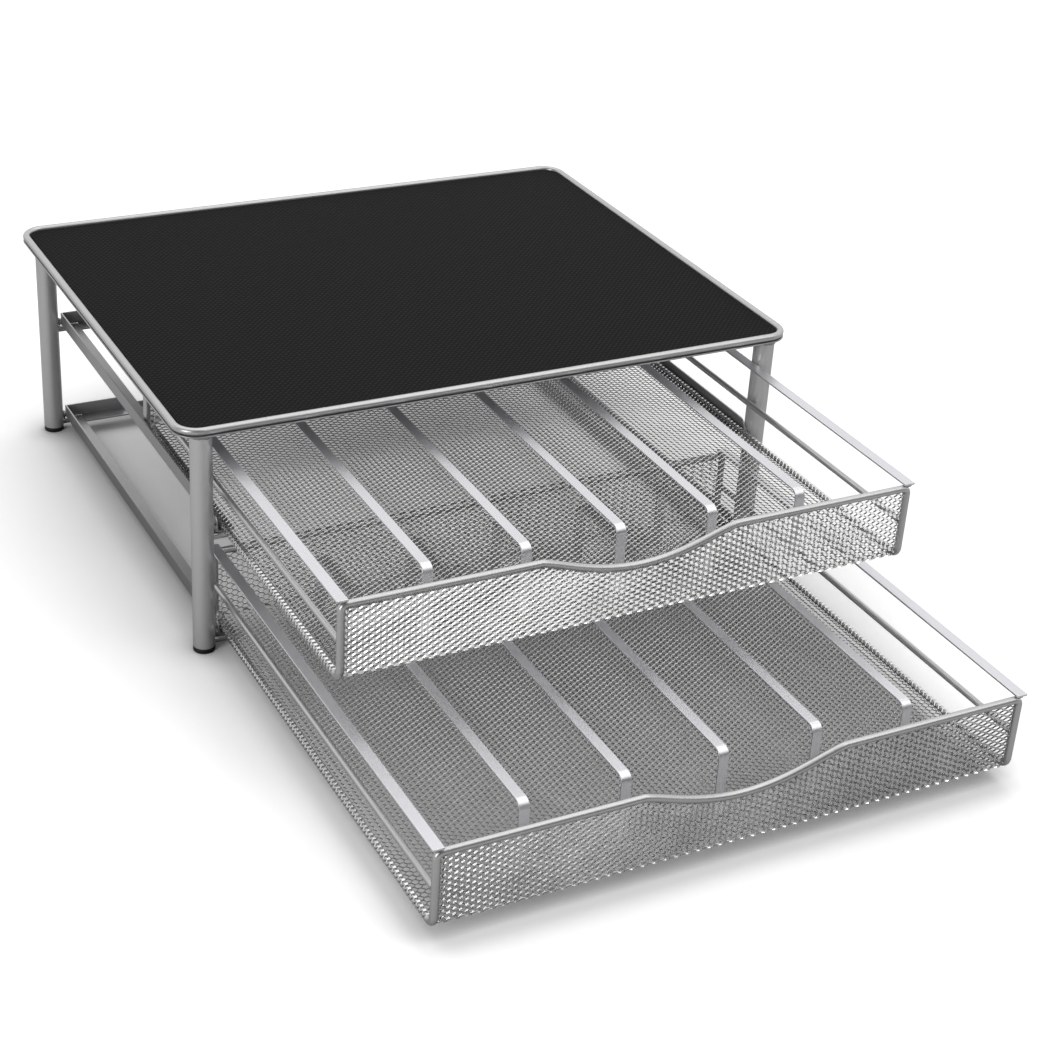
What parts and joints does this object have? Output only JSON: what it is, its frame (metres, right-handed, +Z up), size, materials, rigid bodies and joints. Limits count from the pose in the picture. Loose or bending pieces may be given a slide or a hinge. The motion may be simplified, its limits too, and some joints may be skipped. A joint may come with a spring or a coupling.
{
  "type": "coffee capsule drawer",
  "caption": "Low wire stand with a matted top over stacked sliding mesh drawers; flat strips in each drawer keep coffee capsules in rows.",
  "frame": {"origin": "on the table, in the middle of the bounding box of the stand with both drawers pulled out as in the rest pose", "axes": "+X to the right across the stand, -Y to the front where the drawers pull out, +Z up"},
  "size_m": [0.366, 0.5546, 0.1344],
  "materials": {
    "wire": "satin silver paint",
    "leg": "satin silver paint",
    "sheet": "satin silver paint",
    "bar": "satin silver paint",
    "mesh": "satin silver paint",
    "mat": "matte black with a fine woven dimple",
    "foot": "black"
  },
  "bodies": {
    "stand": {"top_rim_wire": "wire", "top_plate": "sheet", "top_mat": "mat", "leg_front_left": "leg", "leg_front_right": "leg", "leg_rear_left": "leg", "leg_rear_right": "leg", "foot_front_left": "foot", "foot_front_right": "foot", "foot_rear_left": "foot", "foot_rear_right": "foot", "rail_upper_left": "sheet", "rail_upper_right": "sheet", "rail_lower_left": "sheet", "rail_lower_right": "sheet", "rear_bar_upper": "sheet", "rear_bar_lower": "sheet", "stud_upper_front_left": "wire", "stud_upper_front_right": "wire", "stud_upper_rear_left": "wire", "stud_upper_rear_right": "wire", "stud_lower_front_left": "wire", "stud_lower_front_right": "wire", "stud_lower_rear_left": "wire", "stud_lower_rear_right": "wire"},
    "upper_drawer": {"upper_front_wire": "wire", "upper_rear_wire": "wire", "upper_bottom_wire_left": "wire", "upper_bottom_wire_right": "wire", "upper_side_wire_left": "wire", "upper_side_wire_right": "wire", "upper_top_bar_left": "bar", "upper_top_bar_right": "bar", "upper_divider_1": "bar", "upper_divider_2": "bar", "upper_divider_3": "bar", "upper_divider_4": "bar", "upper_divider_5": "bar", "upper_floor_mesh": "mesh", "upper_front_mesh": "mesh", "upper_rear_mesh": "mesh"},
    "lower_drawer": {"lower_front_wire": "wire", "lower_rear_wire": "wire", "lower_bottom_wire_left": "wire", "lower_bottom_wire_right": "wire", "lower_side_wire_left": "wire", "lower_side_wire_right": "wire", "lower_top_bar_left": "bar", "lower_top_bar_right": "bar", "lower_divider_1": "bar", "lower_divider_2": "bar", "lower_divider_3": "bar", "lower_divider_4": "bar", "lower_divider_5": "bar", "lower_floor_mesh": "mesh", "lower_front_mesh": "mesh", "lower_rear_mesh": "mesh"}
  },
  "joints": [
    {"name": "upper_drawer_slide", "type": "slide", "parent": "stand", "child": "upper_drawer", "axis": [0, -1, 0], "range_m": [-0.1517, 0.1123]},
    {"name": "lower_drawer_slide", "type": "slide", "parent": "stand", "child": "lower_drawer", "axis": [0, -1, 0], "range_m": [-0.2606, 0.0034]}
  ]
}
